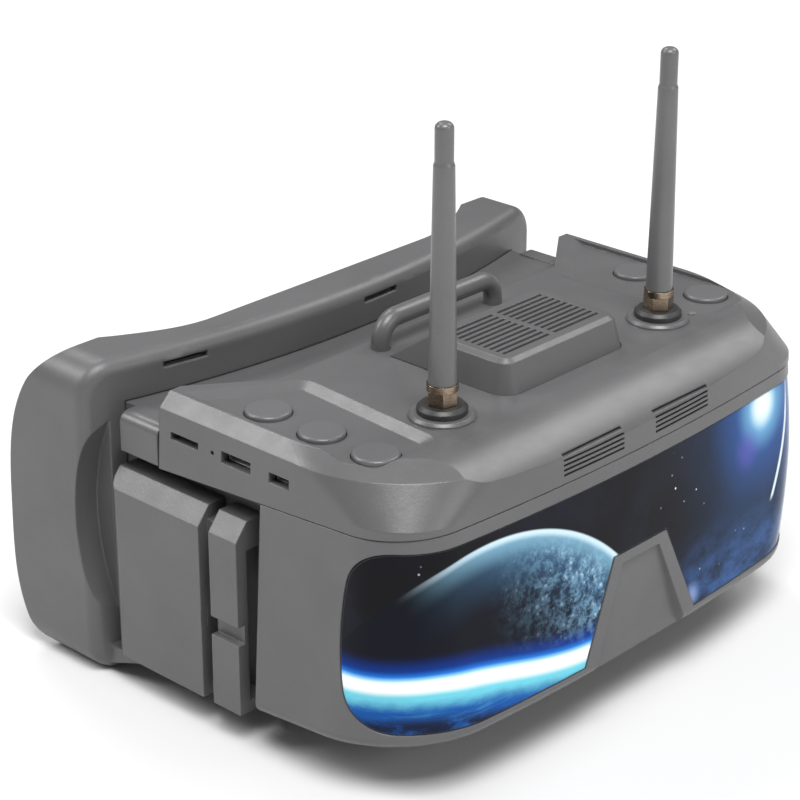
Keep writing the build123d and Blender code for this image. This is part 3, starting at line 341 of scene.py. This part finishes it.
def turned_metal(name, colour, roughness=0.22, edge=0.25 * MM):
    """Machined and plated metal: tool rings, tarnish between the edges, and corners made brighter, partly
    scuffed bare and partly a painted glint.
    """
    g = Graph(name)
    rings = g.noise(0.16 * MM, detail=2.0, stretch=(40.0, 40.0, 1.0))
    tarnish = g.noise(2.5 * MM, detail=6.0, rough=0.7)
    normal, near_edge = g.rounded(edge)
    base = g.blend(tarnish.step(0.42, 0.75) * 0.75, colour, tint(colour, 0.45))
    # corners lightened: partly scuffed bare metal, partly a painted glint
    base = g.blend(near_edge * 0.7, base, tint(colour, 1.35))
    return g.finish(
        Base_Color=base,
        Metallic=1.0,
        Roughness=tarnish.step(0.3, 0.8, roughness, roughness + 0.22) + rings * 0.05,
        Normal=g.bump(rings, 0.008 * MM, normal),
    )


LENS_RING = 1.1  # width of a fresnel ring, in millimetres


def clear_lens(name):
    """Moulded acrylic lens with concentric fresnel rings and finger marks."""
    g = Graph(name)
    x, y, z = g.axes()
    low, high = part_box("lens")
    middle = (low.z + high.z) / 2 / MM
    radius = (x.maths("POWER", 2) + (z - middle).maths("POWER", 2)).maths("SQRT")
    rings = (radius / LENS_RING).maths("FRACT")
    marks = g.noise(16 * MM, detail=6.0, rough=0.7)
    return g.finish(
        Base_Color=(0.93, 0.96, 0.97, 1),
        Roughness=marks.step(0.5, 0.8, 0.02, 0.12),
        Normal=g.bump(rings, 0.03 * MM),
        Transmission_Weight=1.0,
        IOR=1.49,
    )


def dark_screen(name):
    """Display that is off: near-black glass over a faintly visible pixel matrix."""
    g = Graph(name)
    lines = g.node("ShaderNodeTexBrick", {"Vector": g.place, "Scale": 900.0, "Mortar Size": 0.03})
    smears = g.noise(20 * MM, detail=6.0, rough=0.7)
    base = g.blend(Term(g, lines.outputs["Fac"]) * 0.5, (0.006, 0.007, 0.010, 1), (0.016, 0.018, 0.024, 1))
    return g.finish(
        Base_Color=base,
        Roughness=smears.step(0.4, 0.8, 0.07, 0.2),
        Coat_Weight=0.6,
        Coat_Roughness=0.05,
    )


def circuit_board(name):
    """Green solder mask over copper tracks, with tinned pads and vias."""
    g = Graph(name)
    tracks = g.cells(3.1 * MM, feature="DISTANCE_TO_EDGE").step(0.05, 0.085)
    pads = g.cells(2.3 * MM).step(0.2, 0.14)
    dust = g.noise(5 * MM, detail=5.0)
    mask = g.blend(tracks, (0.030, 0.16, 0.07, 1), (0.010, 0.075, 0.035, 1))
    mask = g.blend(dust.step(0.5, 0.8) * 0.3, mask, (0.12, 0.16, 0.12, 1))
    base = g.blend(pads, mask, (0.66, 0.62, 0.50, 1))
    return g.finish(
        Base_Color=base,
        Metallic=pads * 0.9,
        Roughness=dust.step(0.3, 0.8, 0.25, 0.45),
        Normal=g.bump(pads - tracks * 0.5, 0.04 * MM),
    )


def foil_wrap(name):
    """Shrunk silver foil round the cells, wrinkled and slightly dulled."""
    g = Graph(name)
    wrinkles = g.noise(11 * MM, detail=7.0, rough=0.62, stretch=(2.2, 1.0, 0.8))
    dull = g.noise(3 * MM, detail=4.0)
    base = g.blend(dull.step(0.4, 0.75), (0.52, 0.54, 0.58, 1), (0.36, 0.38, 0.42, 1))
    return g.finish(
        Base_Color=base,
        Metallic=0.8,
        Roughness=dull.step(0.3, 0.8, 0.28, 0.45),
        Normal=g.bump(wrinkles, 0.5 * MM),
    )


def smoked_light(name):
    """Smoked light guide, unlit, with cloudy moulding grain under a thin clear skin."""
    g = Graph(name)
    cloudy = g.noise(0.8 * MM, detail=4.0)
    base = g.blend(cloudy.step(0.3, 0.7), (0.09, 0.095, 0.10, 1), (0.16, 0.165, 0.17, 1))
    return g.finish(
        Base_Color=base,
        Roughness=cloudy.step(0.3, 0.7, 0.3, 0.45),
        Coat_Weight=0.3,
        Normal=g.bump(cloudy, 0.02 * MM),
    )


SLOT_MATERIALS = {
    "shell_grey": moulded_plastic("shell_plastic", grey(0.085), roughness=0.36),
    "mask_grey": moulded_plastic("mask_plastic", grey(0.085), roughness=0.42, grain=0.7 * MM, edge=0.9 * MM),
    "vent_grey": moulded_plastic("vent_plastic", grey(0.085), roughness=0.36),
    "button_grey": moulded_plastic("button_plastic", grey(0.095), roughness=0.33, depth=0.012 * MM, scuff_and_highlight_amount=0.8),
    "antenna_grey": moulded_plastic("antenna_plastic", grey(0.11), roughness=0.30, depth=0.012 * MM),
    "ring_black": moulded_plastic("ring_rubber", grey(0.018), roughness=0.45, grain=0.3 * MM, scuff_and_highlight_amount=0.2),
    "black_plastic": moulded_plastic("black_plastic", grey(0.018), roughness=0.42, scuff_and_highlight_amount=0.4),
    "light_trap": moulded_plastic("light_trap_plastic", grey(0.012), roughness=0.75, scuff_and_highlight_amount=0.15),
    "core_white": moulded_plastic("insulator_plastic", (0.80, 0.79, 0.75, 1), roughness=0.35, scuff_and_highlight_amount=0.0),
    "plate_print": printed_gloss("printed_gloss"),
    "foam": knitted_cloth("pad_cloth", grey(0.035)),
    "brass": turned_metal("plated_brass", (0.30, 0.23, 0.17, 1), roughness=0.14),
    "steel": turned_metal("zinc_steel", (0.62, 0.63, 0.64, 1), roughness=0.3),
    "can_tin": turned_metal("tin_plate", (0.66, 0.66, 0.64, 1), roughness=0.3),
    "lens_clear": clear_lens("lens_acrylic"),
    "screen_glass": dark_screen("screen_glass"),
    "board_green": circuit_board("solder_mask"),
    "battery_wrap": foil_wrap("battery_foil"),
    "light_lens": smoked_light("light_guide"),
}

for row in frame["record"]["subparts"]:
    mesh = nodes[row["node"]].data
    mesh.materials.clear()
    mesh.materials.append(SLOT_MATERIALS[row["material_slot"]])


# ---------------------------------------------------------------- face pad
PAD_SHRINK = 1.0 * MM  # the simulation starts from a pad this much smaller all round
PAD_VOXEL = 3.2 * MM
PAD_EDGE_SWELL, PAD_FACE_SWELL = 1.1 * MM, 3.2 * MM  # how far cloth may move by the mask and towards the face
AIR_PRESSURE, AIR_STEPS = 4.0, 20
SEAM_INSET, ARCH_INSET = 6.5 * MM, 4.0 * MM  # the seam runs along the middle of the pad
SEAM_CORNER = 7 * MM
NOSE_RADIUS, NOSE_MIDDLE = 20 * MM, 20 * MM  # the mask's gap for the nose, and its middle above the ground
PAD_OFFSET = 3.1 * MM  # the mask's wall and the clearance inside it
SEAM_WIDTH, SEAM_DEPTH = 2.6 * MM, 1.0 * MM
STITCH_LENGTH, STITCH_GAP, STITCH_RADIUS = 3.0 * MM, 1.6 * MM, 0.42 * MM
STITCH_LIFTS = (-0.35, 0.25, 0.45, 0.25, -0.35)  # height along one stitch, in thread radii; the ends dip in


def evaluated_mesh(obj):
    """A copy of the object's mesh with its modifiers applied."""
    return bpy.data.meshes.new_from_object(obj.evaluated_get(bpy.context.evaluated_depsgraph_get()))


def points_of(mesh):
    points = np.empty(len(mesh.vertices) * 3)
    mesh.vertices.foreach_get("co", points)
    return points.reshape(-1, 3)


def put_points(mesh, points):
    mesh.vertices.foreach_set("co", points.ravel())
    mesh.update()


def normals_of(mesh):
    normals = np.empty(len(mesh.vertices) * 3, np.float32)
    mesh.vertex_normals.foreach_get("vector", normals)
    return normals.reshape(-1, 3)


def bake_modifier(obj, kind, **settings):
    """Adds a modifier, applies it and leaves the object with the resulting mesh."""
    modifier = obj.modifiers.new(kind.lower(), kind)
    for key, value in settings.items():
        setattr(modifier, key, value)
    mesh = evaluated_mesh(obj)
    obj.modifiers.clear()
    obj.data = mesh


def swell(obj):
    """Fills the pad with air as cloth, then holds each point within its allowed movement."""
    start, outward = points_of(obj.data), normals_of(obj.data)
    cloth = obj.modifiers.new("cloth", "CLOTH")
    cloth.settings.use_pressure = True
    cloth.settings.uniform_pressure_force = AIR_PRESSURE
    cloth.settings.effector_weights.gravity = 0.0
    for step in range(1, AIR_STEPS + 1):
        scene.frame_set(step)
    moved = points_of(evaluated_mesh(obj))
    obj.modifiers.clear()
    scene.frame_set(1)
    shift = moved - start
    towards_face = np.clip(outward[:, 1], 0.0, 1.0)[:, None]
    limit = PAD_EDGE_SWELL + (PAD_FACE_SWELL - PAD_EDGE_SWELL) * towards_face
    length = np.linalg.norm(shift, axis=1, keepdims=True)
    put_points(obj.data, start + shift * np.minimum(1.0, limit / np.maximum(length, 1e-9)))


def seam_route(low, high, count=360):
    """Front view of the seam, as evenly spaced x and z along the pad's middle, and its length."""
    half, bottom, top = high.x - SEAM_INSET, low.z + SEAM_INSET, high.z - SEAM_INSET
    side, lower, upper = half - SEAM_CORNER, bottom + SEAM_CORNER, top - SEAM_CORNER
    arch = NOSE_RADIUS + PAD_OFFSET + ARCH_INSET

    def bend(x, z, radius, start, end):
        angles = [math.radians(start + (end - start) * k / 12) for k in range(13)]
        return [(x + radius * math.cos(a), z + radius * math.sin(a)) for a in angles]

    corners = [(arch, bottom)]
    corners += bend(side, lower, SEAM_CORNER, -90, 0)
    corners += bend(side, upper, SEAM_CORNER, 0, 90)
    corners += bend(-side, upper, SEAM_CORNER, 90, 180)
    corners += bend(-side, lower, SEAM_CORNER, 180, 270)
    corners += [(-arch, bottom)]
    corners += bend(0, NOSE_MIDDLE, arch, 180, 0)
    corners += [(arch, bottom)]
    line = np.array(corners)
    travelled = np.concatenate([[0], np.cumsum(np.linalg.norm(np.diff(line, axis=0), axis=1))])
    marks = np.linspace(0, travelled[-1], count, endpoint=False)
    return np.stack([np.interp(marks, travelled, line[:, k]) for k in (0, 1)], axis=1), travelled[-1]


def sew_channel(obj, route):
    """Presses a shallow channel into the side of the pad that faces the wearer, along the seam's route."""
    points, outward = points_of(obj.data), normals_of(obj.data)
    gaps = np.linalg.norm(points[:, None, ::2] - route[None], axis=2).min(axis=1)
    depth = SEAM_DEPTH * np.exp(-((gaps / (SEAM_WIDTH / 2)) ** 2)) * np.clip(outward[:, 1], 0, 1)
    points[:, 1] -= depth
    put_points(obj.data, points)


def stitches(pad, route, length):
    """Thread along the channel: one bowed, round-ended stitch after another."""
    tree = BVHTree.FromObject(pad, bpy.context.evaluated_depsgraph_get())
    count = round(length / (STITCH_LENGTH + STITCH_GAP))
    marks = np.linspace(0, len(route), count, endpoint=False)
    share = STITCH_LENGTH / (STITCH_LENGTH + STITCH_GAP)
    spacing = len(route) / count
    thread = bpy.data.curves.new("pad_stitches", "CURVE")
    thread.dimensions = "3D"
    thread.bevel_depth = STITCH_RADIUS
    thread.bevel_resolution = 2
    thread.use_fill_caps = True
    last = len(STITCH_LIFTS) - 1
    around = np.vstack([route, route[:1]])
    for mark in marks:
        spline = thread.splines.new("POLY")
        spline.points.add(last)
        for k, lift in enumerate(STITCH_LIFTS):
            at = (mark + spacing * share * k / last) % len(route)
            x, z = (np.interp(at, range(len(around)), around[:, axis]) for axis in (0, 1))
            hit, _, _, _ = tree.ray_cast(Vector((x, 0.2, z)), Vector((0, -1, 0)))
            spline.points[k].co = (x, hit.y + lift * STITCH_RADIUS, z, 1.0)
            spline.points[k].radius = 0.75 if k in (0, last) else 1.0
    made = bpy.data.objects.new("pad_stitches", thread)
    scene.collection.objects.link(made)
    thread.materials.append(moulded_plastic("thread", grey(0.09), roughness=0.7, grain=0.25 * MM, scuff_and_highlight_amount=0.0))
    return made


def build_pad():
    """The soft pad inside the mask's rim, blown up as cloth from its plain solid."""
    low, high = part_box("foam_pad")
    pad = bpy.data.objects.new("face_pad", nodes["foam_pad"].data.copy())
    scene.collection.objects.link(pad)
    bake_modifier(pad, "REMESH", mode="VOXEL", voxel_size=PAD_VOXEL)
    bake_modifier(pad, "SMOOTH", factor=0.5, iterations=3)
    put_points(pad.data, points_of(pad.data) - normals_of(pad.data) * PAD_SHRINK)
    swell(pad)
    bake_modifier(pad, "SUBSURF", levels=1, render_levels=1)
    inside = np.clip(points_of(pad.data), (low.x, -1, low.z), (high.x, 1, high.z))
    put_points(pad.data, inside)
    route, length = seam_route(low, high)
    sew_channel(pad, route)
    for face in pad.data.polygons:
        face.use_smooth = True
    pad.data.materials.clear()
    pad.data.materials.append(SLOT_MATERIALS["foam"])
    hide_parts("foam_pad")
    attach(pad, "housing")
    thread = stitches(pad, route, length)
    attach(thread, "housing")


build_pad()


# ---------------------------------------------------------------- floor, light and camera
FLOOR_REACH = 12.0
MIDDLE = (0.0, 0.0, 0.07)  # what the lights point at
WORLD_STRENGTH = 0.18
CAMERA_PLACE = (-0.5079, -0.4619, 0.3792)
CAMERA_TARGET = (-0.08304, -0.0645, 0.120)
CAMERA_LENS, CAMERA_SENSOR = 110.3, 36.0

# (name, place, size, power in watts)
SOFTBOXES = (
    ("front_overhead", (-0.85, -1.10, 3.05), (1.75, 1.50), 124.0),
    ("front_key", (0.38, -3.10, 1.50), (2.0, 1.25), 26.0),
    ("back_left", (-1.55, 2.05, 2.00), (1.0, 1.0), 42.0),
    ("right_high", (2.20, -0.40, 2.50), (1.5, 1.4), 38.0),
    ("back_high", (0.70, 2.00, 2.60), (0.9, 0.9), 25.0),
)


def build_floor():
    """A plain pale floor that reaches well past the object on every side."""
    g = Graph("pale_floor")
    haze = g.noise(0.6, detail=3.0)
    colour = g.blend(haze, (0.64, 0.64, 0.64, 1), (0.68, 0.68, 0.68, 1))
    material = g.finish(Base_Color=colour, Roughness=haze.step(0.2, 0.8, 0.6, 0.75), Specular_IOR_Level=0.2)
    mesh = bpy.data.meshes.new("floor")
    far = FLOOR_REACH
    mesh.from_pydata([(-far, -far, 0), (far, -far, 0), (far, far, 0), (-far, far, 0)], [], [(0, 1, 2, 3)])
    mesh.materials.append(material)
    floor = bpy.data.objects.new("floor", mesh)
    scene.collection.objects.link(floor)


def aim(obj, target):
    """Turns a light or a camera towards a point."""
    obj.rotation_euler = (Vector(target) - obj.location).to_track_quat("-Z", "Y").to_euler()


def softbox(name, place, size, power):
    """A rectangular lamp that points at the object."""
    light = bpy.data.lights.new(name, "AREA")
    light.shape = "RECTANGLE"
    light.size, light.size_y = size
    light.energy = power
    lamp = bpy.data.objects.new(name, light)
    lamp.location = place
    scene.collection.objects.link(lamp)
    aim(lamp, MIDDLE)


build_floor()
for row in SOFTBOXES:
    softbox(*row)

world = bpy.data.worlds.new("studio")
world.use_nodes = True
world.node_tree.nodes["Background"].inputs["Color"].default_value = (1.0, 1.0, 1.0, 1)
world.node_tree.nodes["Background"].inputs["Strength"].default_value = WORLD_STRENGTH
scene.world = world
scene.view_settings.view_transform = "Standard"

camera = bpy.data.objects.new("camera", bpy.data.cameras.new("camera"))
camera.data.lens, camera.data.sensor_width = CAMERA_LENS, CAMERA_SENSOR
camera.data.clip_start = 0.01
camera.location = CAMERA_PLACE
scene.collection.objects.link(camera)
aim(camera, CAMERA_TARGET)
scene.camera = camera
